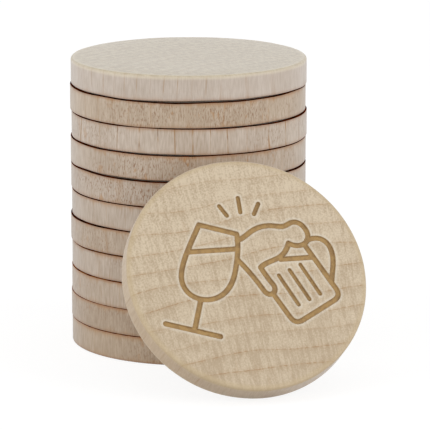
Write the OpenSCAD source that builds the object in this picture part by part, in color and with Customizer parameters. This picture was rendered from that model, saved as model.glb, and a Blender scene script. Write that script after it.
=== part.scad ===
// A set of round wooden game tokens: a plain stack and one more token leaning on it.
// Every token is one turned and sanded wooden disc with a picture of two clinking glasses
// cut into one face. In the stack that face lies downwards, on the leaning token it looks out.
// Millimetres. The origin is the centre of the stack on the table, +Z is up, the front is -Y.

/* [Token] */
// Diameter of every token
token_d = 35; // [33:0.5:42]
// Thickness of every token
token_t = 3.9; // [3:0.1:6]
// Radius of the sanded edges
edge_r = 0.2; // [0.15:0.05:0.9]

/* [Engraving] */
// Width of the picture, from the foot of the wine glass to the corner of the beer mug
picture_w = 26.25; // [22:0.25:28]
// How far the picture sits below the middle of the face
picture_drop = 0.15; // [-0.5:0.05:0.5]
// Width of the outlines of the glasses and the foam
outline_w = 0.85; // [0.5:0.05:0.9]
// Width of the flutes in the mug
flute_w = 0.65; // [0.4:0.05:0.8]
// Width of the sparks over the glasses
spark_w = 0.7; // [0.4:0.05:0.9]
// Depth of the lines below the face
cut_depth = 0.25; // [0.15:0.05:1]

/* [Stack] */
// How far the tokens lie off the axis of the stack
stack_play = 0.1; // [0:0.05:0.3]
// Turn of each token from the one below it, in degrees
stack_turn = 67; // [0:1:180]

/* [Leaning token] */
// Lean back from upright, in degrees
lean = 34.5; // [20:0.5:50]
// Place round the stack, in degrees from the front
lean_side = 15.75; // [-90:0.25:90]
// Air between the leaning token and the stack
lean_gap = 0.1; // [0.1:0.05:0.5]
// Air between the leaning token and the table
table_gap = 0.03; // [0.02:0.01:0.1]

/* [Hidden] */
NODES = [
    "stack_token_01", "stack_token_02", "stack_token_03", "stack_token_04",
    "stack_token_05", "stack_token_06", "stack_token_07", "stack_token_08",
    "stack_token_09", "stack_token_10", "stack_token_11",
    "leaning_token"
];
stack_count = len(NODES) - 1;

// Bare wood, greyer in the stack and warmer at the front
stack_wood = "#cdbca6";
front_wood = "#d2bd97";

// Fineness of curves: steps of one cubic curve, of a round line end and of an edge rounding
curve_steps = 6;
end_steps = 6;
edge_steps = 4;
// The cutter's prism stands this far out of the face
cutter_over = 1;

// Half sizes of the flat-sided core that the edge rounding goes round
core_r = token_d / 2 - edge_r;
core_h = token_t / 2 - edge_r;

// The golden angle spreads the tokens' small shifts evenly round the axis
shift_turn = 137.5;

// Where the middle of the leaning token is: out from the axis, and up from the table
lean_reach = token_d / 2 + stack_play + lean_gap + core_r * sin(lean) + core_h * cos(lean) + edge_r;
lean_height = core_r * cos(lean) + core_h * sin(lean) + edge_r + table_gap;

// The picture's points below are in millimetres on a drawing this wide
drawn_w = 26.7;
picture_scale = picture_w / drawn_w;

// Wine glass: its foot, stem and wine level are straight, its bowl is a chain of curves
glass_foot = [[-13.3, -6.6], [-5.6, -9.1]];
glass_stem = [[-9.2, -7.8], [-7.6, -3.4]];
glass_rim = [[-6, 8.2], [-0.6, 6.4]];
glass_bowl = [
    glass_rim[0], [-7.4, 5.8], [-9.6, 2.6], [-9.9, 0.3],
    [-10.1, -2.2], [-8.2, -3.4], [-6.4, -3.4],
    [-4, -3.4], [-2.4, -1.4], [-1.7, 0.9],
    [-1.1, 2.7], [-0.6, 4.6], glass_rim[1]
];
wine_level = [[-8.3, 4.1], [-0.9, 4.1]];

// Beer mug: walls with rounded corners, a handle, a beer level and a row of flutes
mug_top = [9.2, 4.2];
mug_walls = [mug_top, [13.4, -4.2], [5.8, -8.1], [3.3, -3.2]];
mug_corner = 1.4;
mug_handle = [
    [9.7, 4.7], [11.6, 5.5], [13.2, 4.6], [13.2, 2.2],
    [13.2, 0.8], [12.6, -0.6], [12.4, -1.7]
];
beer_level = [[5.3, 2.05], [9.9, 2.05]];
flute_count = 3;
flute_start = [4.6, -0.4];
flute_step = [1.75, 0.72];
flute_run = [2.2, -4.7];

// Foam: its crown, its two lower bays and the drip that runs down beside the mug
foam_crown = [
    [-0.7, 5.4], [0.8, 5.7], [1.6, 7.4], [4.3, 7.4],
    [5.2, 7.4], [6.1, 7], [6.8, 7.2],
    [7.4, 7.4], [7.6, 7.7], [8.3, 7.7],
    [9.4, 7.7], [10.2, 6.2], [10, 5.3],
    [9.9, 4.8], [9.6, 4.4], mug_top
];
foam_peak = [6.9, 4.5];
foam_tip = [2.1, 1];
foam_bay = [mug_top, [8.6, 3.9], [7.7, 3.9], foam_peak];
foam_slope = [foam_peak, [6.5, 3.5], [5.9, 2.6], [4.5, 2.1], [3.6, 1.8], [2.6, 1.5], foam_tip];
foam_drip = [
    foam_tip, [2.5, 0.1], [3, -0.9], [3.5, -1.7],
    [4.2, -2.9], [2.7, -3.9], [2, -2.6],
    [1.2, -1], [0.2, 0.7], [-1.1, 2.4]
];

// Sparks over the place where the glasses meet
sparks = [
    [[-2.5, 10.9], [-1.6, 9.35]],
    [[0.5, 12], [0.5, 9.75]],
    [[3.4, 10.9], [2.5, 9.35]]
];

function unit(v) = v / norm(v);
function right_of(v) = [v.y, -v.x];
function polar(r, a) = r * [cos(a), sin(a)];
function reversed(p) = [for (i = [len(p) - 1:-1:0]) p[i]];

// Points of the arc about c from angle a to angle b, both ends included
function arc(c, r, a, b, steps) = [for (i = [0:steps]) c + polar(r, a + (b - a) * i / steps)];

// The point at share s of the cubic curve that four control points give
function cubic(p, s) =
    pow(1 - s, 3) * p[0] + 3 * s * pow(1 - s, 2) * p[1] + 3 * s * s * (1 - s) * p[2] + pow(s, 3) * p[3];

// Points along a chain of cubic curves, where each curve starts at the end of the last one
function chain(p) = concat([p[0]], [
    for (k = [0:3:len(p) - 4])
        for (i = [1:curve_steps])
            cubic([p[k], p[k + 1], p[k + 2], p[k + 3]], i / curve_steps)
]);

// Points of a corner at b, rounded from the distance d before it to the distance d after it
function corner(a, b, c, d) = let (start = b + d * unit(a - b), end = b + d * unit(c - b)) [
    for (i = [0:curve_steps])
        let (s = i / curve_steps)
            pow(1 - s, 2) * start + 2 * s * (1 - s) * b + s * s * end
];

// A bent line with all its inner corners rounded
function rounded(p, d) = concat(
    [p[0]],
    [for (i = [1:len(p) - 2]) each corner(p[i - 1], p[i], p[i + 1], d)],
    [p[len(p) - 1]]
);

// Direction of line p at its point i, midway between the stretches that meet there
function heading(p, i) =
    i == 0 ? unit(p[1] - p[0]) :
    i == len(p) - 1 ? unit(p[i] - p[i - 1]) :
    unit(unit(p[i + 1] - p[i]) + unit(p[i] - p[i - 1]));

// Points at distance d to the right of line p
function beside(p, d) = [for (i = [0:len(p) - 1]) p[i] + d * right_of(heading(p, i))];

// Points of the half-round end at c, for a line that runs out of it in direction v
function round_end(c, v, r) = let (a = atan2(v.y, v.x) - 90) [
    for (i = [1:end_steps - 1]) c + polar(r, a + 180 * i / end_steps)
];

// The outline of a line of width w with round ends
function line_outline(p, w) = concat(
    beside(p, w / 2),
    round_end(p[len(p) - 1], heading(p, len(p) - 1), w / 2),
    reversed(beside(p, -w / 2)),
    round_end(p[0], -heading(p, 0), w / 2)
);

module line(p, w) {
    polygon(line_outline(picture_scale * p, w));
}

module wine_glass() {
    line(glass_foot, outline_w);
    line(glass_stem, outline_w);
    line(glass_rim, outline_w);
    line(chain(glass_bowl), outline_w);
    line(wine_level, outline_w);
}

module beer_mug() {
    line(rounded(mug_walls, mug_corner), outline_w);
    line(chain(mug_handle), outline_w);
    line(beer_level, outline_w);
    for (i = [0:flute_count - 1])
        let (start = flute_start + i * flute_step)
            line([start, start + flute_run], flute_w);
}

module foam() {
    for (edge = [foam_crown, foam_bay, foam_slope, foam_drip])
        line(chain(edge), outline_w);
}

module picture() {
    wine_glass();
    beer_mug();
    foam();
    for (spark = sparks)
        line(spark, spark_w);
}

// The plain disc: its half section turned about Z
module blank() {
    rotate_extrude($fn = 96)
        polygon(concat(
            [[0, -token_t / 2]],
            arc([core_r, -core_h], edge_r, -90, 0, edge_steps),
            arc([core_r, core_h], edge_r, 0, 90, edge_steps),
            [[0, token_t / 2]]
        ));
}

// One token about its own middle, with the picture in its upper face
module token() {
    difference() {
        blank();
        translate([0, -picture_drop, token_t / 2 - cut_depth])
            linear_extrude(cut_depth + cutter_over)
                picture();
    }
}

// Token number i of the stack, counted from 0 on the table, with its picture downwards
module stack_token(i) {
    shift = i == 0 ? [0, 0] : polar(stack_play, i * shift_turn);
    color(stack_wood)
        translate([shift.x, shift.y, (i + 0.5) * token_t])
            rotate([180, 0, i * stack_turn])
                token();
}

// The token that leans on the stack, with its picture outwards
module leaning_token() {
    color(front_wood)
        rotate([0, 0, lean_side])
            translate([0, -lean_reach, lean_height])
                rotate([90 - lean, 0, 0])
                    token();
}

for (i = [0:stack_count - 1])
    stack_token(i);
leaning_token();
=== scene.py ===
"""Looks of a set of round wooden game tokens: a stack of them, and one more leaning on it.

Every token is one closed surface: an engraved face, a rim with sanded edges and a plain face.
The wood is one solid figure (growth rings, rays and fibres) that runs through faces and rims alike.
Sizes are in millimetres until a token is placed. The frame and the finished meshes are in metres.
"""

from math import cos, pi, radians, sin

import bpy
import numpy as np
from mathutils import Matrix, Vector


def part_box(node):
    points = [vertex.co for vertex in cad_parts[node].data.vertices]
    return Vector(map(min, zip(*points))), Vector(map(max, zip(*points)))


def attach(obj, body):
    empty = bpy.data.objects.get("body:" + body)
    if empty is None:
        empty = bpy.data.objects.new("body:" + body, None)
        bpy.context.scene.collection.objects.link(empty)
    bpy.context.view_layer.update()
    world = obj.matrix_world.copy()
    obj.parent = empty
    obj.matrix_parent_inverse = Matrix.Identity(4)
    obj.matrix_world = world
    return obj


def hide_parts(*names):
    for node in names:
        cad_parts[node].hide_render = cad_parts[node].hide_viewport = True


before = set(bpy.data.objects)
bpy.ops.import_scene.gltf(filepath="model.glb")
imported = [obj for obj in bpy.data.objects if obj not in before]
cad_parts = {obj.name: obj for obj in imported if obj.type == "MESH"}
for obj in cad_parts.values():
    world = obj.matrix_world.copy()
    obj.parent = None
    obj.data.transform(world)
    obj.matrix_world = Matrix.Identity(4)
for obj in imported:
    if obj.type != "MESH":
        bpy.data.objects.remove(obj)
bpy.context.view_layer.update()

MM = 0.001

# The camera of the photograph: a long lens, a little above the stack
CAMERA_PLACE = (0.0, -0.500, 0.1272)
CAMERA_PITCH = 12.245
CAMERA_PAN = 0.452
CAMERA_LENS = 285.9
SENSOR_W = 36

# The tokens' size, from the lowest one in the frame
LOWEST = "stack_token_01"
FRONT = "leaning_token"
STACK = sorted(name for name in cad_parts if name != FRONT)
low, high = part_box(LOWEST)
TOKEN_R = (high.x - low.x) / 2 / MM
# A hair of air between the tokens, so that no two faces of the stack lie in one plane
FACE_AIR = 0.01
TOKEN_T = (high.z - low.z) / MM - FACE_AIR

# How the tokens lie: turn from one to the next in the stack, and the lean of the one in front
STACK_TURN = 67
LEAN = 34.5
LEAN_SIDE = 15.75

# Sanded edges by where they lie: radius, how pale they are where worn, together with a painted highlight
# where the rounding catches the light, and how much painted shade a joint lays on them
EDGES = {
    "joint": dict(radius=0.08, worn_highlight=0.0, joint_shaded=1.0),
    "top": dict(radius=0.4, worn_highlight=0.65, joint_shaded=0.0),
    "front": dict(radius=0.45, worn_highlight=0.9, joint_shaded=0.0),
}
# How far an edge's radius wanders, the strip of the rim beside it, and the steps of its rounding
EDGE_WANDER = 0.25
EDGE_STRIP = 0.3
EDGE_STEPS = 7

# Sanding takes a little more off a face near its edge: width and steps of that margin, its fall where
# no joint is and how far a fall wanders, and the powers by which the worn highlight and the painted shade of
# a joint fade over it
MARGIN_W = 1.0
MARGIN_STEPS = 5
MARGIN_FALL = 0.015
FALL_WANDER = 0.8
WORN_HIGHLIGHT_FADE = 1.2
JOINT_SHADE_FADE = 0.7
# From this much painted joint shade on, a face's margin takes the dark material painted as the shade inside a
# joint
JOINT_SHADE_FROM = 0.36
# How much of a joint's painted shade is left where its edge meets the rim
RIM_JOINT_SHADE = 0.35

# Open width of each joint of the stack at the rims, from the lowest joint upwards
JOINT_GAPS = [0.07, 0.05, 0.09, 0.2, 0.15, 0.13, 0.3, 0.15, 0.16, 0.28]
# The joints of this many tokens, from the lowest, get a lighter, browner painted shade
LIGHTER_SHADE_COUNT = 4

# Engraving: width of the outlines, of the flutes and of the sparks, depth of the cut
OUTLINE_W = 0.85
FLUTE_W = 0.65
SPARK_W = 0.7
CUT_DEPTH = 0.25
# Steps of one curve, the share of a cell that a wall of the cut takes up, and the distance to the cut that
# stands for far from it
CURVE_STEPS = 12
WALL_SHARE = 0.9
CLEAR = 9.0
# Least length that is divided by
TINY = 1e-9

# Cells across the engraved face, finer on the token whose picture shows
FRONT_CELLS = 256
STACK_CELLS = 160
# Rings of points on the plain face, as shares of the way to its margin
PLAIN_RINGS = (1.0, 0.7, 0.4, 0.15)
# Slow waves that an edge wanders by: how many to the turn, and the size of each
WANDER_WAVES = [(3, 0.5), (7, 0.3), (13, 0.2)]
# Surfaces that meet at a larger angle than this, in degrees, have a sharp edge between them
SHARP_ANGLE = 38

# The picture: how far it sits below the middle of the face, and its width there and as drawn.
# Its points are in millimetres from its own middle, x to its right and y up
PICTURE_DROP = 0.15
PICTURE_W = 26.25
DRAWN_W = 26.7
GLASS_FOOT = [(-13.3, -6.6), (-5.6, -9.1)]
GLASS_STEM = [(-9.2, -7.8), (-7.6, -3.4)]
GLASS_RIM = [(-6, 8.2), (-0.6, 6.4)]
GLASS_BOWL = [
    GLASS_RIM[0], (-7.4, 5.8), (-9.6, 2.6), (-9.9, 0.3),
    (-10.1, -2.2), (-8.2, -3.4), (-6.4, -3.4),
    (-4, -3.4), (-2.4, -1.4), (-1.7, 0.9),
    (-1.1, 2.7), (-0.6, 4.6), GLASS_RIM[1],
]
WINE_LEVEL = [(-8.3, 4.1), (-0.9, 4.1)]
MUG_TOP = (9.2, 4.2)
MUG_WALLS = [MUG_TOP, (13.4, -4.2), (5.8, -8.1), (3.3, -3.2)]
MUG_CORNER = 1.4
MUG_HANDLE = [
    (9.7, 4.7), (11.6, 5.5), (13.2, 4.6), (13.2, 2.2),
    (13.2, 0.8), (12.6, -0.6), (12.4, -1.7),
]
BEER_LEVEL = [(5.3, 2.05), (9.9, 2.05)]
FLUTE_COUNT = 3
FLUTE_START = (4.6, -0.4)
FLUTE_STEP = (1.75, 0.72)
FLUTE_RUN = (2.2, -4.7)
FOAM_CROWN = [
    (-0.7, 5.4), (0.8, 5.7), (1.6, 7.4), (4.3, 7.4),
    (5.2, 7.4), (6.1, 7), (6.8, 7.2),
    (7.4, 7.4), (7.6, 7.7), (8.3, 7.7),
    (9.4, 7.7), (10.2, 6.2), (10, 5.3),
    (9.9, 4.8), (9.6, 4.4), MUG_TOP,
]
FOAM_PEAK = (6.9, 4.5)
FOAM_TIP = (2.1, 1)
FOAM_BAY = [MUG_TOP, (8.6, 3.9), (7.7, 3.9), FOAM_PEAK]
FOAM_SLOPE = [FOAM_PEAK, (6.5, 3.5), (5.9, 2.6), (4.5, 2.1), (3.6, 1.8), (2.6, 1.5), FOAM_TIP]
FOAM_DRIP = [
    FOAM_TIP, (2.5, 0.1), (3, -0.9), (3.5, -1.7),
    (4.2, -2.9), (2.7, -3.9), (2, -2.6),
    (1.2, -1), (0.2, 0.7), (-1.1, 2.4),
]
SPARKS = [
    [(-2.5, 10.9), (-1.6, 9.35)],
    [(0.5, 12), (0.5, 9.75)],
    [(3.4, 10.9), (2.5, 9.35)],
]


def smooth_step(low_end, high_end, x):
    """0 up to low_end, 1 from high_end, and the S-curve 3s^2 - 2s^3 between them."""
    s = np.clip((x - low_end) / (high_end - low_end), 0, 1)
    return s * s * (3 - 2 * s)


def curve_chain(points):
    """Points along cubic curves: every third point lies on the line, the two between pull it."""
    p = np.array(points, float)
    s = np.linspace(0, 1, CURVE_STEPS + 1)[1:, None]
    runs = [p[:1]]
    for a, b, c, d in zip(p[0:-3:3], p[1::3], p[2::3], p[3::3]):
        outer = (1 - s) ** 3 * a + s ** 3 * d
        inner = 3 * s * (1 - s) ** 2 * b + 3 * s * s * (1 - s) * c
        runs.append(outer + inner)
    return np.concatenate(runs)


def rounded_line(points, reach):
    """A bent line whose inner corners are parabolas from reach before to reach after the corner."""
    p = np.array(points, float)
    s = np.linspace(0, 1, CURVE_STEPS + 1)[:, None]
    runs = [p[:1]]
    for a, b, c in zip(p, p[1:], p[2:]):
        start = b + reach * (a - b) / np.linalg.norm(a - b)
        end = b + reach * (c - b) / np.linalg.norm(c - b)
        runs.append((1 - s) ** 2 * start + 2 * s * (1 - s) * b + s * s * end)
    runs.append(p[-1:])
    return np.concatenate(runs)


def picture_lines():
    """Every line of the two clinking glasses, as its points and its width."""
    straight = [GLASS_FOOT, GLASS_STEM, GLASS_RIM, WINE_LEVEL, BEER_LEVEL]
    curved = [GLASS_BOWL, MUG_HANDLE, FOAM_CROWN, FOAM_BAY, FOAM_SLOPE, FOAM_DRIP]
    flutes = np.array(FLUTE_START) + np.outer(np.arange(FLUTE_COUNT), FLUTE_STEP)
    lines = [(np.array(line, float), OUTLINE_W) for line in straight]
    lines += [(curve_chain(line), OUTLINE_W) for line in curved]
    lines.append((rounded_line(MUG_WALLS, MUG_CORNER), OUTLINE_W))
    lines += [(np.array([top, top + FLUTE_RUN]), FLUTE_W) for top in flutes]
    lines += [(np.array(spark, float), SPARK_W) for spark in SPARKS]
    return [(PICTURE_W / DRAWN_W * points, width) for points, width in lines]


def edge_of_cut(places):
    """Signed distance from each place to the edge of the nearest cut line (negative inside it),
    and the unit direction away from the middle of that line.

    A place's distance to one stretch of a line is taken at its foot, the nearest point of the stretch.
    """
    nearest = np.full(len(places), CLEAR)
    away = np.zeros_like(places)
    for points, width in picture_lines():
        for a, b in zip(points, points[1:]):
            run = b - a
            share = np.clip((places - a) @ run / (run @ run), 0, 1)
            offset = places - a - share[:, None] * run
            gap = np.linalg.norm(offset, axis=1)
            closer = gap - width / 2 < nearest
            nearest[closer] = gap[closer] - width / 2
            away[closer] = offset[closer] / np.maximum(gap[closer], TINY)[:, None]
    return nearest, away


def engraved_face(cells, reach):
    """The engraved face out to the radius reach: places, distances to the cut edge, cells and outer loop.

    A square grid is laid on the disc so that every square ring of it becomes a circle: the larger of
    the two square coordinates is the radius, and their ratio is the angle. Places near the edge of
    a cut, and near the foot of its wall one cell further in, are pulled onto it, so that the wall
    is one cell wide and its edges are clean.
    """
    steps = np.linspace(-1, 1, cells + 1)
    a, b = np.meshgrid(steps, steps, indexing="ij")
    wide = abs(a) >= abs(b)
    radius = np.where(wide, a, b)
    share = np.where(wide, b, a) / np.where(radius == 0, 1, radius)
    turn = np.where(wide, share, 2 - share) * pi / 4
    places = reach * np.stack([radius * np.cos(turn), radius * np.sin(turn)], -1).reshape(-1, 2)

    cell = 2 * reach / cells
    distance, away = edge_of_cut(places + (0, PICTURE_DROP))
    for contour in (0, -cell):
        close = abs(distance - contour) < cell / 2
        places[close] -= (distance - contour)[close, None] * away[close]
        distance[close] = contour
    depth = CUT_DEPTH * smooth_step(0, WALL_SHARE * cell, -distance)
    points = np.column_stack([places, TOKEN_T / 2 - depth])

    index = np.arange((cells + 1) ** 2).reshape(cells + 1, cells + 1)
    corners = [index[:-1, :-1], index[1:, :-1], index[1:, 1:], index[:-1, 1:]]
    quads = np.stack(corners, -1).reshape(-1, 4)
    loop = np.concatenate([index[-1, :-1], index[:0:-1, -1], index[0, :0:-1], index[:-1, 0]])
    return points, distance, quads, loop


def slow_wander(turn, rng):
    """Slow waves with the turn, each from a chance start, together between -1 and 1."""
    return sum(size * np.sin(count * turn + rng.uniform(0, 2 * pi)) for count, size in WANDER_WAVES)


def rim_rows(turn, rng, sides):
    """The rows of points from the engraved face over the rim to the plain face, and each row's marks:
    how worn it is, which also stands for a painted highlight, how much painted shade a joint lays on it, and
    how far it is end grain.

    Half the section of the token is carried round its axis. The margin of each face falls away in
    a parabola that is level at the edge, by the fall given for that side. Each sanded edge is
    a quarter circle. The fall and the radius wander with the angle. The marks fade over the margin.
    What is left of them at the end of the rounding fades over a narrow strip of the rim.
    """
    rows, marks = [], []
    half = TOKEN_T / 2
    margin = TOKEN_R - MARGIN_W
    for side, (kind, mean_fall) in zip((1, -1), sides):
        edge = EDGES[kind]
        radius = edge["radius"] * (1 + EDGE_WANDER * slow_wander(turn, rng))
        fall = mean_fall * (1 + FALL_WANDER * slow_wander(turn, rng))
        corner = []
        for share in np.linspace(0, 1, MARGIN_STEPS + 1)[1:-1]:
            height = half - fall * share * (2 - share)
            out = margin + share * (MARGIN_W - radius)
            corner.append((out, height, share ** WORN_HIGHLIGHT_FADE, share ** JOINT_SHADE_FADE, 1.0))
        for angle in np.linspace(pi / 2, 0, EDGE_STEPS):
            height = half - fall - radius + radius * sin(angle)
            painted_shade = max(sin(angle), RIM_JOINT_SHADE)
            corner.append((TOKEN_R - radius + radius * cos(angle), height, 1.0, painted_shade, sin(angle)))
        corner.append((np.full_like(turn, TOKEN_R), half - fall - radius - EDGE_STRIP, 0.0, 0.0, 0.0))
        for out, height, worn_highlight, joint_shaded, end_grain in corner[::side]:
            rows.append(np.stack([out * np.cos(turn), out * np.sin(turn), side * height], -1))
            marks.append((worn_highlight * edge["worn_highlight"], joint_shaded * edge["joint_shaded"], end_grain))
    for share in PLAIN_RINGS:
        ring = share * margin * np.ones_like(turn)
        rows.append(np.stack([ring * np.cos(turn), ring * np.sin(turn), np.full_like(turn, -half)], -1))
        marks.append((0.0, 0.0, 1.0))
    return np.stack(rows), np.array(marks)


def token_surface(face, seed, sides):
    """One closed token about its own middle: points, quads, the fan of the plain face, and its marks."""
    points, distance, quads, loop = face
    rng = np.random.default_rng(seed)
    count = len(loop)
    turn = -pi / 4 + 2 * pi * np.arange(count) / count
    rows, row_marks = rim_rows(turn, rng, sides)

    start = len(points)
    ring_index = np.vstack([loop, start + np.arange(rows.size // 3).reshape(len(rows), count)])
    nxt = np.roll(ring_index, -1, axis=1)
    rim_quads = np.stack([ring_index[:-1], ring_index[1:], nxt[1:], nxt[:-1]], -1).reshape(-1, 4)
    middle = start + rows.size // 3
    fan = np.stack([ring_index[-1], np.full(count, middle), nxt[-1]], -1)

    all_points = np.vstack([points, rows.reshape(-1, 3), [[0, 0, -TOKEN_T / 2]]])
    face_mark = np.array([[0.0, 0.0, 1.0]])
    all_marks = np.vstack([face_mark.repeat(start, 0), row_marks.repeat(count, 0), face_mark])
    cut = np.full(len(all_points), CLEAR)
    cut[:start] = distance
    # Marks: wear with a painted highlight on sanded edges, the painted shade of the joints, end grain and the
    # cut
    marks = dict(zip(("worn_highlight_edge", "joint_shade_edge", "end_grain"), all_marks.T), cut_edge=cut)
    return all_points, np.vstack([quads, rim_quads]), fan, marks


def put_in_mesh(name, points, quads, fan):
    """A mesh of quads and triangles from whole arrays."""
    mesh = bpy.data.meshes.new(name)
    corners = np.concatenate([quads.ravel(), fan.ravel()]).astype(np.int32)
    starts = np.concatenate([4 * np.arange(len(quads)), quads.size + 3 * np.arange(len(fan))])
    mesh.vertices.add(len(points))
    mesh.loops.add(len(corners))
    mesh.polygons.add(len(starts))
    mesh.vertices.foreach_set("co", points.astype(np.float32).ravel())
    mesh.loops.foreach_set("vertex_index", corners)
    mesh.polygons.foreach_set("loop_start", starts.astype(np.int32))
    mesh.update(calc_edges=True)
    mesh.validate()
    return mesh


def make_token(name, face, seed, turned, sides, wood, joint_shade):
    """One token in its place: its surface turned by the matrix and moved to the middle of its CAD node.

    Where a joint's painted shade is strong, its faces take the dark material painted as the shade inside the
    joint.
    """
    points, quads, fan, marks = token_surface(face, seed, sides)
    node_low, node_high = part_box(name)
    middle = np.array((node_low + node_high) / 2)
    mesh = put_in_mesh(name, points @ np.array(turned).T * MM + middle, quads, fan)
    for label, values in marks.items():
        mesh.attributes.new(label, "FLOAT", "POINT").data.foreach_set("value", values.astype(np.float32))
    mesh.shade_smooth()
    mesh.set_sharp_from_angle(angle=radians(SHARP_ANGLE))
    in_joint = marks["joint_shade_edge"][quads].min(axis=1) > JOINT_SHADE_FROM
    mesh.materials.append(wood)
    if in_joint.any():
        mesh.materials.append(joint_shade)
        slots = np.concatenate([in_joint, np.zeros(len(fan), bool)])
        mesh.polygons.foreach_set("material_index", slots.astype(np.int32))
    piece = bpy.data.objects.new("wood_" + name, mesh)
    bpy.context.scene.collection.objects.link(piece)
    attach(piece, name)
    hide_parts(name)
    return piece


def srgb(code):
    """Linear colour of a hex code."""
    c = np.array([int(code[i:i + 2], 16) for i in (1, 3, 5)]) / 255
    linear = np.where(c <= 0.04045, c / 12.92, ((c + 0.055) / 1.055) ** 2.4)
    return (*linear, 1.0)


class Sheet:
    """Places nodes in one tree. An input is a plain value or the output of another node."""

    def __init__(self, tree):
        self.tree = tree

    def add(self, kind, inputs=None, **settings):
        node = self.tree.nodes.new(kind)
        for key, value in settings.items():
            setattr(node, key, value)
        for key, value in (inputs or {}).items():
            if isinstance(value, bpy.types.NodeSocket):
                self.tree.links.new(value, node.inputs[key])
            else:
                node.inputs[key].default_value = value
        return node

    def math(self, operation, *values, clamp=False):
        inputs = dict(enumerate(values))
        return self.add("ShaderNodeMath", inputs, operation=operation, use_clamp=clamp).outputs[0]

    def vector(self, operation, *values):
        inputs = dict(enumerate(values))
        return self.add("ShaderNodeVectorMath", inputs, operation=operation).outputs[0]

    def ramp(self, value, from_min, from_max, to_min=0.0, to_max=1.0):
        """S-curve from to_min at from_min to to_max at from_max."""
        inputs = {"Value": value, "From Min": from_min, "From Max": from_max}
        inputs |= {"To Min": to_min, "To Max": to_max}
        return self.add("ShaderNodeMapRange", inputs, interpolation_type="SMOOTHSTEP").outputs[0]

    def noise(self, place, stretch, detail=2.0):
        """Noise whose grain is 1/stretch millimetres along each direction of place."""
        scaled = self.vector("MULTIPLY", place, stretch)
        inputs = {"Vector": scaled, "Scale": 1.0, "Detail": detail}
        return self.add("ShaderNodeTexNoise", inputs).outputs[0]

    def marks(self, place, stretch, span, detail=1.0, strength=(0.0, 1.0)):
        """Marks that come up where such a noise rises over its span, from one strength to the other."""
        return self.ramp(self.noise(place, stretch, detail), *span, *strength)

    def weigh(self, *terms):
        """Sum of weight x (value - mean) over the given (value, weight, mean)."""
        total = -sum(weight * mean for value, weight, mean in terms)
        for value, weight, mean in terms:
            total = self.math("MULTIPLY_ADD", value, weight, total)
        return total

    def mix(self, share, a, b, blend="MIX"):
        node = self.add("ShaderNodeMix", {0: share, 6: a, 7: b}, data_type="RGBA", blend_type=blend)
        return node.outputs[2]

    def group(self, tree, **inputs):
        named = {key.replace("_", " ").capitalize(): value for key, value in inputs.items()}
        return self.add("ShaderNodeGroup", named, node_tree=tree).outputs


def new_group(name, inputs, outputs):
    """An empty shader group with named sockets: its sheet, its inputs and its output node."""
    tree = bpy.data.node_groups.new(name, "ShaderNodeTree")
    for in_out, sockets in (("INPUT", inputs), ("OUTPUT", outputs)):
        for label, kind in sockets.items():
            tree.interface.new_socket(label, in_out=in_out, socket_type="NodeSocket" + kind)
    sheet = Sheet(tree)
    return sheet, sheet.add("NodeGroupInput").outputs, sheet.add("NodeGroupOutput").inputs


def log_position_group():
    """Place in the log: across the rings, round them, and along the grain, which is the token's axis.

    The heart of the log lies beside the token, so the rings are wide arcs about it.
    """
    sheet, given, result = new_group(
        "log_position", {"Point": "Vector", "Heart": "Float"}, {"Position": "Vector"})
    x, y, z = sheet.add("ShaderNodeSeparateXYZ", {0: given["Point"]}).outputs
    out = sheet.math("ADD", y, given["Heart"])
    squares = sheet.math("ADD", sheet.math("MULTIPLY", x, x), sheet.math("MULTIPLY", out, out))
    across = sheet.math("SUBTRACT", sheet.math("SQRT", squares), given["Heart"])
    around = sheet.math("MULTIPLY", sheet.math("ARCTAN2", x, out), given["Heart"])
    place = sheet.add("ShaderNodeCombineXYZ", {0: across, 1: around, 2: z}).outputs[0]
    sheet.tree.links.new(place, result["Position"])
    return sheet.tree


# The figure of the wood is made of noises in the log. Each has its grains per millimetre across the rings,
# round them and along the grain. Marks come up over a span of their noise.
NOISE_MEAN = 0.5
# Growth rings: their slow and their ragged waver in millimetres, the share of a year that is late wood
RING_WAVER = (0.11, 0.05, 0.03)
RING_WAVER_SIZE = 4.0
RING_RAGGED = (1.2, 1.2, 0.6)
RING_RAGGED_SIZE = 0.17
LATE_WOOD = (0.3, 1.0)
# The line that ends a year: where it starts to fade and has faded, the width and strength of its halo,
# how it is broken, how strength differs from year to year, and the runs where it has opened
RING_LINE = (0.02, 0.13)
RING_HALO_W = 0.8
RING_HALO = 0.3
RING_BREAKS = dict(stretch=(0.6, 1.8, 0.4), detail=2.0, span=(0.36, 0.6), strength=(0.25, 1.0))
RING_STRENGTHS = (0.4, 1.0)
OPEN_RUNS = dict(stretch=(0.4, 0.9, 0.45), span=(0.6, 0.7))


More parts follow.
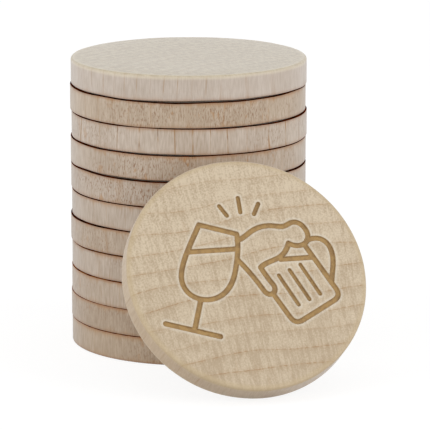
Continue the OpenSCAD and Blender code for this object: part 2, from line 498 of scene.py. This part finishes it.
def growth_rings_group():
    """Growth rings: a band that darkens towards the end of each year, and the thin broken line that ends it.

    On a face the line has a soft halo. Here and there it has opened to a dark crack.
    """
    sheet, given, result = new_group(
        "growth_rings", {"Position": "Vector", "Spacing": "Float", "End grain": "Float"},
        {"Late wood": "Float", "Line": "Float", "Cracks": "Float"})
    place = given["Position"]
    across = sheet.add("ShaderNodeSeparateXYZ", {0: place}).outputs[0]
    slow = sheet.weigh((sheet.noise(place, RING_WAVER, 1.0), RING_WAVER_SIZE, NOISE_MEAN))
    ragged = sheet.weigh((sheet.noise(place, RING_RAGGED), RING_RAGGED_SIZE, NOISE_MEAN))
    wavering = sheet.math("ADD", across, sheet.math("ADD", slow, ragged))
    years = sheet.math("DIVIDE", wavering, given["Spacing"])
    late = sheet.ramp(sheet.math("FRACT", years), *LATE_WOOD)
    nearest = sheet.math("ROUND", years)
    chance = sheet.add("ShaderNodeTexWhiteNoise", {"W": nearest}, noise_dimensions="1D").outputs[0]
    off = sheet.math("ABSOLUTE", sheet.math("SUBTRACT", years, nearest))
    away = sheet.math("MULTIPLY", off, given["Spacing"])
    core = sheet.ramp(away, *RING_LINE, 1.0, 0.0)
    halo = sheet.math("MULTIPLY", sheet.ramp(away, 0.0, RING_HALO_W, RING_HALO, 0.0), given["End grain"])
    strength = sheet.ramp(chance, 0.0, 1.0, *RING_STRENGTHS)
    weight = sheet.math("MULTIPLY", sheet.marks(place, **RING_BREAKS), strength)
    line = sheet.math("MULTIPLY", sheet.math("MAXIMUM", core, halo), weight)
    cracks = sheet.math("MULTIPLY", core, sheet.marks(place, **OPEN_RUNS))
    sheet.tree.links.new(late, result["Late wood"])
    sheet.tree.links.new(line, result["Line"])
    sheet.tree.links.new(cracks, result["Cracks"])
    return sheet.tree


# Rays: how far a rim must run along the rings to cut them end-on, their streaks on faces,
# their dashes on rims with the patches that hold them, and their spots
ALONG_RINGS = (0.35, 0.8)
RAY_STREAKS = dict(stretch=(0.3, 2.3, 0.3), span=(0.42, 0.62))
RAY_PATCHES = dict(stretch=(0.1, 0.12, 0.25), span=(0.36, 0.6), strength=(0.25, 1.0))
RAY_DASHES = dict(stretch=(0.8, 8.0, 1.8), span=(0.54, 0.66))
RAY_SPOTS = dict(stretch=(0.4, 1.1, 0.55), span=(0.64, 0.76))


def rays_group():
    """Rays: thin sheets that stand across the rings. They are streaks on a face.

    On a rim they are short dashes, and rarer broad spots, where it runs along the rings and cuts them end-on.
    """
    sheet, given, result = new_group(
        "rays", {"Point": "Vector", "Position": "Vector"},
        {"Streaks": "Float", "Dashes": "Float", "Spots": "Float"})
    place = given["Position"]
    outwards = sheet.vector("NORMALIZE", sheet.vector("MULTIPLY", given["Point"], (1, 1, 0)))
    towards_heart = sheet.add("ShaderNodeSeparateXYZ", {0: outwards}).outputs[1]
    along_rings = sheet.ramp(sheet.math("ABSOLUTE", towards_heart), *ALONG_RINGS)
    shown = sheet.math("MULTIPLY", sheet.marks(place, **RAY_PATCHES), along_rings)
    dashes = sheet.math("MULTIPLY", sheet.marks(place, **RAY_DASHES), shown)
    spots = sheet.math("MULTIPLY", sheet.marks(place, **RAY_SPOTS), along_rings)
    sheet.tree.links.new(sheet.marks(place, **RAY_STREAKS), result["Streaks"])
    sheet.tree.links.new(dashes, result["Dashes"])
    sheet.tree.links.new(spots, result["Spots"])
    return sheet.tree


# Tone: its noises, and how much each of them and each mark of the figure weighs
THREADS = (5.0, 5.0, 0.6)
CLOUD = (0.16, 0.16, 0.12)
MOTTLE = (0.7, 0.5, 0.15)
SPECKLE = (4.2, 4.2, 0.9)
FLECKS = dict(stretch=(0.85, 1.8, 0.15), span=(0.36, 0.64))
TONE_WEIGHTS = dict(threads=2.0, cloud=0.6, mottle=0.4, speckle=1.2, streaks=0.4, late_wood=0.24)
# How much of a face streaks and late wood cover on average
MARK_MEAN = 0.4
# How much coarser the speckle gets away from the heart
COARSER = 1.5


def tone_group():
    """How far the wood is towards its darker tone, about a half on average, and its fine threads alone.

    Threads along the grain, clouds and a mottle lie all over it. The speckle of cut fibres, flecks, the
    streaks of rays and the late wood show on end grain. Towards the heart the wood gets darker and its
    ends finer. On the leaning token, whose heart lies below, this darkening is painted shade towards the
    lower edge of its face.
    """
    amounts = ("From heart", "End grain", "Streaks", "Late wood", "Threading", "Speckling", "Flecking")
    sheet, given, result = new_group(
        "tone", {"Position": "Vector"} | dict.fromkeys(amounts, "Float"),
        {"Darkness": "Float", "Threads": "Float"})
    place = given["Position"]
    weights = TONE_WEIGHTS
    threads = sheet.noise(place, THREADS)
    cloud = sheet.noise(place, CLOUD)
    mottle = sheet.noise(place, MOTTLE, 1.0)
    speckle = sheet.noise(place, SPECKLE, 0.0)
    flecks = sheet.weigh((sheet.marks(place, **FLECKS), 1.0, NOISE_MEAN))
    body = sheet.weigh(
        (cloud, weights["cloud"], NOISE_MEAN), (mottle, weights["mottle"], NOISE_MEAN),
        (given["From heart"], -1.0, 0.0))
    threading = sheet.math(
        "MULTIPLY", sheet.weigh((threads, weights["threads"], NOISE_MEAN)), given["Threading"])
    all_over = sheet.math("ADD", body, threading)
    coarser = sheet.math("MULTIPLY_ADD", given["From heart"], COARSER, 1.0)
    speckling = sheet.math("MULTIPLY", given["Speckling"], coarser)
    spots = sheet.math("MULTIPLY", sheet.weigh((speckle, weights["speckle"], NOISE_MEAN)), speckling)
    blots = sheet.math("MULTIPLY_ADD", flecks, given["Flecking"], spots)
    lines = sheet.weigh(
        (given["Streaks"], weights["streaks"], MARK_MEAN),
        (given["Late wood"], weights["late_wood"], MARK_MEAN))
    on_ends = sheet.math("ADD", blots, lines)
    middling = sheet.math("ADD", all_over, 0.5)
    total = sheet.math("MULTIPLY_ADD", on_ends, given["End grain"], middling, clamp=True)
    sheet.tree.links.new(total, result["Darkness"])
    sheet.tree.links.new(threads, result["Threads"])
    return sheet.tree


# How far the painted shade of a joint reaches over the rims, in millimetres, as the strength of ragged marks
JOINT_SHADE_REACH = dict(stretch=(0.7, 0.7, 0.1), detail=3.0, span=(0.3, 0.7), strength=(0.5, 1.4))


def edge_shade_group():
    """Painted shade: brown fringes along the upper and the lower edge of a rim, where it meets the next
    token.

    The faces themselves, which are end grain, keep clear of them.
    """
    sheet, given, result = new_group(
        "edge_shade", {"Point": "Vector", "Position": "Vector", "Half": "Float", "End grain": "Float"},
        {"Upper": "Float", "Lower": "Float"})
    on_rim = sheet.math("SUBTRACT", 1.0, given["End grain"])
    height = sheet.add("ShaderNodeSeparateXYZ", {0: given["Point"]}).outputs[2]
    reach = sheet.marks(given["Position"], **JOINT_SHADE_REACH)
    for edge, operation in (("Upper", "SUBTRACT"), ("Lower", "ADD")):
        away = sheet.math("DIVIDE", sheet.math(operation, given["Half"], height), reach)
        left = sheet.math("SUBTRACT", 1.0, away, clamp=True)
        fringe = sheet.math("MULTIPLY", sheet.math("MULTIPLY", left, left), on_rim)
        sheet.tree.links.new(fringe, result[edge])
    return sheet.tree


# Scorched cut: where its floor ends, where its walls are and how far its lip reaches, as distances
# to its edge in millimetres, and the blotches on its floor
SCORCH_END = (-0.07, 0.02)
SCORCH_WALL = (-0.18, -0.06)
SCORCH_LIP = (0.05, 0.5)
SCORCH_BLOTCHES = dict(stretch=(1.3, 1.3, 1.3), detail=2.0, span=(0.4, 0.65), strength=(0.0, 0.35))


def scorch_group():
    """Scorched cut, from the distance to its edge: the tan floor, the dark walls, blotches, a pale lip."""
    sheet, given, result = new_group(
        "scorched_cut", {"Distance": "Float", "Position": "Vector"},
        {"Floor": "Float", "Edge": "Float", "Blotches": "Float", "Lip": "Float"})
    distance = given["Distance"]
    floor = sheet.ramp(distance, *SCORCH_END, 1.0, 0.0)
    edge = sheet.math("MULTIPLY", floor, sheet.ramp(distance, *SCORCH_WALL))
    sheet.tree.links.new(floor, result["Floor"])
    sheet.tree.links.new(edge, result["Edge"])
    sheet.tree.links.new(sheet.marks(given["Position"], **SCORCH_BLOTCHES), result["Blotches"])
    sheet.tree.links.new(sheet.ramp(distance, *SCORCH_LIP, 1.0, 0.0), result["Lip"])
    return sheet.tree


# Wood tones: rims of a pale, a deep and a warm token, faces of a grey and a warm one
RIM_PALE = srgb("#c0b3a7")
RIM_DEEP = srgb("#a48f78")
RIM_WARM = srgb("#b69d7c")
FACE_GREY = srgb("#ae9f83")
FACE_WARM = srgb("#c2b096")
# What the figure of the wood multiplies them by, from its lightest to its darkest
LIGHTEST = (1.17, 1.2, 1.23, 1.0)
DARKEST = (0.84, 0.8, 0.75, 1.0)
RING_BROWN = srgb("#976c34")
RAY_BROWN = srgb("#85603e")
CRACK_BROWN = srgb("#5a3a26")
# Brown of the broad ray spots, and of the painted shade that fringes a rim beside a joint
RUST = srgb("#a4702c")
EDGE_CREAM = srgb("#dfd8c8")
# Pale tones of worn edges, which also paint a highlight where the rounding catches the light
EDGE_PALE = srgb("#dfd3b8")
EDGE_HONEY = srgb("#bea985")
# Painted shade inside the joints: its brown, its black, and the lighter tan of the lowest joints
JOINT_SHADE_BROWN = srgb("#682806")
JOINT_SHADE_BLACK = srgb("#2a0c00")
JOINT_SHADE_TAN = srgb("#9a6230")
SCORCH_TAN = srgb("#a88650")
SCORCH_BROWN = srgb("#6b4a26")

# How much of the wood each kind of mark covers where it is strongest. The joint marks and the fringes beside
# them are painted shade, the worn edges partly a painted highlight
COVER = dict(rings=0.5, dashes=0.65, spots=0.4, painted_shade=0.75, worn_highlight=0.6, joint=0.75, wall=0.3, lip=0.4)
# Surface of sanded wood: fine relief, how deep ring lines lie in it, roughness and the sheen of its nap
RELIEF_STRENGTH = 0.15
RELIEF_DEPTH = 0.05
LINE_DEPTH = 0.4
THREAD_SPAN = (0.3, 0.7)
WOOD_ROUGH = (0.45, 0.6)
SHEEN = 0.55
SHEEN_ROUGH = 0.42
# Painted shade inside the joints: its blotches, the painted joint shade over which bare wood turns to the
# dark tone, and its roughness
JOINT_BLOTCHES = dict(stretch=(0.9, 0.9, 0.9), detail=2.0, span=(0.35, 0.65))
JOINT_TURN = (0.4, 0.7)
JOINT_ROUGH = (0.7, 0.85)
# Steps in the log from one token's wood to another's, for each millimetre of spacing and degree of turn
LOG_STEPS = (7.0, 5.0)

# Each token's wood: turn of the rings as they lie, heart of the log beside it, ring spacing, warmth and
# depth of tone, how much it darkens towards the heart (on the leaning token painted shade towards the
# lower edge of its face), strength of ring lines, cracks and ray dashes, of the painted shade at the
# upper and at the lower edge of its rim, of the threads along its grain, and of the
# speckle and the flecks on its ends
PLAIN_WOOD = dict(
    warm=0.0, fade=0.0, rings=0.5, cracks=0.0, dashes=0.8, painted_shade=1.1, painted_under_shade=0.5, threads=1.0,
    speckle=1.0, flecks=0.1)
TOKEN_WOOD = {
    "stack_token_01": dict(turn=20, heart=60, spacing=3.0, warm=0.2, deep=0.8),
    "stack_token_02": dict(turn=140, heart=90, spacing=2.2, deep=0.9),
    "stack_token_03": dict(turn=75, heart=70, spacing=2.6, warm=0.1, deep=0.6),
    "stack_token_04": dict(turn=10, heart=120, spacing=2.0, deep=0.55),
    "stack_token_05": dict(turn=100, heart=60, spacing=2.4, warm=0.1, deep=0.65, rings=0.8),
    "stack_token_06": dict(turn=40, heart=90, spacing=2.8, deep=0.5),
    "stack_token_07": dict(turn=160, heart=70, spacing=2.2, deep=0.5, dashes=1.3),
    "stack_token_08": dict(turn=5, heart=60, spacing=2.6, warm=0.1, deep=0.5, rings=0.6, dashes=1.3),
    "stack_token_09": dict(turn=90, heart=150, spacing=2.6, warm=0.12, deep=0.2, rings=1.9, cracks=0.45,
                           painted_shade=0.8),
    "stack_token_10": dict(turn=15, heart=70, spacing=2.8, warm=0.3, deep=0.5, rings=0.7, dashes=1.2,
                           painted_shade=1.2),
    "stack_token_11": dict(turn=40, heart=45, spacing=1.9, deep=0.1, rings=0.9, dashes=0.1, painted_shade=0.0,
                           threads=0.7, flecks=0.75),
    "leaning_token": dict(turn=5, heart=220, spacing=2.9, warm=1.0, deep=0.0, fade=0.25, rings=1.35,
                          dashes=0.2, painted_shade=0.0, painted_under_shade=0.0, threads=0.4),
}


def blend_tone(one, other, share):
    """A tone between two, fixed for one token."""
    return tuple((1 - share) * a + share * b for a, b in zip(one, other))


def wood_material(name, turned, groups):
    """Bare sanded wood of one token. The pattern is centred on the token and turned with its rings."""
    wood = PLAIN_WOOD | TOKEN_WOOD[name]
    node_low, node_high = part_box(name)
    material = bpy.data.materials.new(name + "_wood")
    material.use_nodes = True
    material.node_tree.nodes.clear()
    sheet = Sheet(material.node_tree)

    own_place = sheet.add("ShaderNodeTexCoord").outputs["Object"]
    point = sheet.add("ShaderNodeMapping", {
        "Vector": own_place,
        "Location": (node_low + node_high) / 2,
        "Rotation": (turned @ Matrix.Rotation(radians(wood["turn"]), 3, "Z")).to_euler("XYZ"),
        "Scale": (MM, MM, MM),
    }, vector_type="TEXTURE").outputs[0]
    position = sheet.group(groups["log_position"], point=point, heart=wood["heart"])["Position"]
    step = (LOG_STEPS[0] * wood["spacing"], LOG_STEPS[1] * wood["turn"], wood["heart"])
    shifted = sheet.vector("ADD", position, step)

    marks = {label: sheet.add("ShaderNodeAttribute", attribute_name=label).outputs["Fac"]
             for label in ("worn_highlight_edge", "joint_shade_edge", "end_grain", "cut_edge")}
    ends = marks["end_grain"]
    rings = sheet.group(groups["growth_rings"], position=shifted, spacing=wood["spacing"], end_grain=ends)
    rays = sheet.group(groups["rays"], point=point, position=shifted)
    # Painted shade fringing the rim beside a joint
    painted_shade = sheet.group(
        groups["edge_shade"], point=point, position=shifted, half=TOKEN_T / 2, end_grain=ends)
    scorch = sheet.group(groups["scorched_cut"], distance=marks["cut_edge"], position=shifted)
    across = sheet.add("ShaderNodeSeparateXYZ", {0: position}).outputs[0]
    tone = sheet.group(
        groups["tone"], position=shifted, from_heart=sheet.math("MULTIPLY", across, wood["fade"] / TOKEN_R),
        end_grain=ends, streaks=rays["Streaks"], late_wood=rings["Late wood"],
        threading=wood["threads"], speckling=wood["speckle"], flecking=wood["flecks"])

    rim = blend_tone(blend_tone(RIM_PALE, RIM_DEEP, wood["deep"]), RIM_WARM, wood["warm"])
    face = blend_tone(FACE_GREY, FACE_WARM, wood["warm"])
    worn_highlight = blend_tone(EDGE_PALE, EDGE_HONEY, wood["warm"])
    figure = sheet.mix(tone["Darkness"], LIGHTEST, DARKEST)
    colour = sheet.mix(1.0, sheet.mix(ends, rim, face), figure, "MULTIPLY")
    # Joint marks and the fringes beside them are painted shade; worn edges are part wear, part painted
    # highlight
    for mask, strength, colour_there in (
            (rings["Line"], COVER["rings"] * wood["rings"], RING_BROWN),
            (rings["Cracks"], wood["cracks"], CRACK_BROWN),
            (rays["Dashes"], COVER["dashes"] * wood["dashes"], RAY_BROWN),
            (rays["Spots"], COVER["spots"] * wood["dashes"], RUST),
            (painted_shade["Upper"], COVER["painted_shade"] * wood["painted_shade"], RUST),
            (painted_shade["Lower"], COVER["painted_shade"] * wood["painted_under_shade"], RUST),
            (marks["worn_highlight_edge"], COVER["worn_highlight"], worn_highlight),
            (marks["joint_shade_edge"], COVER["joint"], JOINT_SHADE_BROWN),
            (scorch["Lip"], COVER["lip"], EDGE_CREAM)):
        colour = sheet.mix(sheet.math("MULTIPLY", mask, strength), colour, colour_there)
    burnt = sheet.mix(scorch["Blotches"], SCORCH_TAN, SCORCH_BROWN)
    burnt = sheet.mix(sheet.math("MULTIPLY", scorch["Edge"], COVER["wall"]), burnt, SCORCH_BROWN)
    colour = sheet.mix(scorch["Floor"], colour, burnt)

    relief = sheet.math("SUBTRACT", tone["Threads"], sheet.math("MULTIPLY", rings["Line"], LINE_DEPTH))
    bump = sheet.add("ShaderNodeBump", {
        "Strength": RELIEF_STRENGTH, "Distance": RELIEF_DEPTH * MM, "Height": relief})
    roughness = sheet.ramp(tone["Threads"], *THREAD_SPAN, *WOOD_ROUGH)
    shader = sheet.add("ShaderNodeBsdfPrincipled", {
        "Base Color": colour, "Roughness": roughness, "Normal": bump.outputs[0],
        "Sheen Weight": SHEEN, "Sheen Roughness": SHEEN_ROUGH})
    sheet.add("ShaderNodeOutputMaterial", {"Surface": shader.outputs[0]})
    return material


def joint_shade_material(name, darkest, palest):
    """Painted shade inside the joints: a dark, dry material with no sheen. It fades to bare wood further in.
    """
    material = bpy.data.materials.new(name)
    material.use_nodes = True
    material.node_tree.nodes.clear()
    sheet = Sheet(material.node_tree)
    place = sheet.vector("DIVIDE", sheet.add("ShaderNodeTexCoord").outputs["Object"], (MM, MM, MM))
    blotches = sheet.marks(place, **JOINT_BLOTCHES)
    dark = sheet.mix(blotches, darkest, palest)
    painted_shade = sheet.add("ShaderNodeAttribute", attribute_name="joint_shade_edge").outputs["Fac"]
    colour = sheet.mix(sheet.ramp(painted_shade, *JOINT_TURN), FACE_GREY, dark)
    roughness = sheet.ramp(blotches, 0.0, 1.0, *JOINT_ROUGH)
    shader = sheet.add("ShaderNodeBsdfPrincipled", {
        "Base Color": colour, "Roughness": roughness, "Specular IOR Level": 0.0})
    sheet.add("ShaderNodeOutputMaterial", {"Surface": shader.outputs[0]})
    return material


def make_tokens():
    """All the tokens: the stack lies with its pictures downwards, the front one leans and shows its own."""
    makers = (
        log_position_group, growth_rings_group, rays_group, tone_group, edge_shade_group, scorch_group)
    groups = {tree.name: tree for tree in (make() for make in makers)}
    # Dark materials painted as the shade inside the joints, a lighter one for the lowest joints
    joint_shade = joint_shade_material("joint_shade_dark", JOINT_SHADE_BLACK, JOINT_SHADE_BROWN)
    light_joint_shade = joint_shade_material("joint_shade_light", JOINT_SHADE_BROWN, JOINT_SHADE_TAN)
    reach = TOKEN_R - MARGIN_W
    stack_face = engraved_face(STACK_CELLS, reach)
    front_face = engraved_face(FRONT_CELLS, reach)
    upright = Matrix.Identity(3)
    falls = [MARGIN_FALL] + [gap / 2 for gap in JOINT_GAPS] + [MARGIN_FALL]
    kinds = ["joint"] * len(STACK) + ["top"]
    edges = list(zip(kinds, falls))
    for number, name in enumerate(STACK):
        turned = Matrix.Rotation(radians(number * STACK_TURN), 3, "Z") @ Matrix.Rotation(pi, 3, "X")
        wood = wood_material(name, upright, groups)
        in_joint = light_joint_shade if number < LIGHTER_SHADE_COUNT else joint_shade
        make_token(name, stack_face, number, turned, edges[number:number + 2], wood, in_joint)
    turned = Matrix.Rotation(radians(LEAN_SIDE), 3, "Z") @ Matrix.Rotation(radians(90 - LEAN), 3, "X")
    wood = wood_material(FRONT, turned, groups)
    make_token(FRONT, front_face, len(STACK), turned, [("front", MARGIN_FALL)] * 2, wood, joint_shade)


def make_camera():
    """The photograph's camera, looking down a little and panned a hair to the right."""
    data = bpy.data.cameras.new("camera")
    data.lens = CAMERA_LENS
    data.sensor_width = SENSOR_W
    camera = bpy.data.objects.new("camera", data)
    camera.location = CAMERA_PLACE
    camera.rotation_euler = (radians(90 - CAMERA_PITCH), 0, radians(-CAMERA_PAN))
    bpy.context.scene.collection.objects.link(camera)
    bpy.context.scene.camera = camera


def seen_ray(sheet):
    """1 for rays from the camera, and for those that a gloss or a glass passes on."""
    path = sheet.add("ShaderNodeLightPath").outputs
    seen = sheet.math("MAXIMUM", path["Is Camera Ray"], path["Is Glossy Ray"])
    return sheet.math("MAXIMUM", seen, path["Is Transmission Ray"])


# The floor: half its side, how far it lies below the tokens, its paleness for the light it throws back and
# for the camera, and the white of its own that the camera sees a share of
FLOOR_HALF = 4.0
FLOOR_DROP = 0.05 * MM
FLOOR_PALE = 0.75
FLOOR_SHOWN_PALE = 0.95
FLOOR_OWN_WHITE = 1.12
FLOOR_OWN_SHARE = 0.74


def make_floor():
    """A white floor. What the camera sees is part its own white, so that only a soft shadow darkens it."""
    mesh = bpy.data.meshes.new("floor")
    side = FLOOR_HALF
    corners = ((-side, -side), (side, -side), (side, side), (-side, side))
    mesh.from_pydata([(x, y, -FLOOR_DROP) for x, y in corners], [], [(0, 1, 2, 3)])
    floor = bpy.data.objects.new("floor", mesh)
    bpy.context.scene.collection.objects.link(floor)
    material = bpy.data.materials.new("white_floor")
    material.use_nodes = True
    material.node_tree.nodes.clear()
    sheet = Sheet(material.node_tree)
    seen = seen_ray(sheet)
    pale = sheet.math("MULTIPLY_ADD", seen, FLOOR_SHOWN_PALE - FLOOR_PALE, FLOOR_PALE)
    grey = sheet.add("ShaderNodeCombineColor", {0: pale, 1: pale, 2: pale}).outputs[0]
    diffuse = sheet.add("ShaderNodeBsdfDiffuse", {"Color": grey})
    white = sheet.add("ShaderNodeEmission", {"Color": (1, 1, 1, 1), "Strength": FLOOR_OWN_WHITE})
    share = sheet.math("MULTIPLY", seen, FLOOR_OWN_SHARE)
    mixed = sheet.add("ShaderNodeMixShader", {0: share, 1: diffuse.outputs[0], 2: white.outputs[0]})
    sheet.add("ShaderNodeOutputMaterial", {"Surface": mixed.outputs[0]})
    mesh.materials.append(material)


# The light: strength of the even surround, and the two softboxes with what they are aimed at
WORLD_LIGHT = 0.62
LAMPS = {
    "left_softbox": dict(place=(-0.6, -0.32, 0.22), size=0.5, power=2.2),
    "right_softbox": dict(place=(0.6, -0.32, 0.22), size=0.5, power=2.25),
}
LAMP_AIM = (0, 0, 0.02)


def make_light():
    """A soft studio: an even white surround and a large softbox on either side."""
    world = bpy.data.worlds.new("studio")
    world.use_nodes = True
    world.node_tree.nodes.clear()
    sheet = Sheet(world.node_tree)
    strength = sheet.add("ShaderNodeMix", {0: seen_ray(sheet), 2: WORLD_LIGHT, 3: 1.0}).outputs[0]
    surround = sheet.add("ShaderNodeBackground", {"Color": (1, 1, 1, 1), "Strength": strength})
    sheet.add("ShaderNodeOutputWorld", {"Surface": surround.outputs[0]})
    bpy.context.scene.world = world
    for name, lamp in LAMPS.items():
        data = bpy.data.lights.new(name, "AREA")
        data.size = lamp["size"]
        data.energy = lamp["power"]
        box = bpy.data.objects.new(name, data)
        place = Matrix.Translation(lamp["place"])
        aim = (Matrix.Translation(LAMP_AIM).translation - place.translation).to_track_quat("-Z", "Y")
        box.matrix_world = place @ aim.to_matrix().to_4x4()
        bpy.context.scene.collection.objects.link(box)


make_camera()
make_tokens()
make_floor()
make_light()
bpy.context.scene.view_settings.view_transform = "Standard"
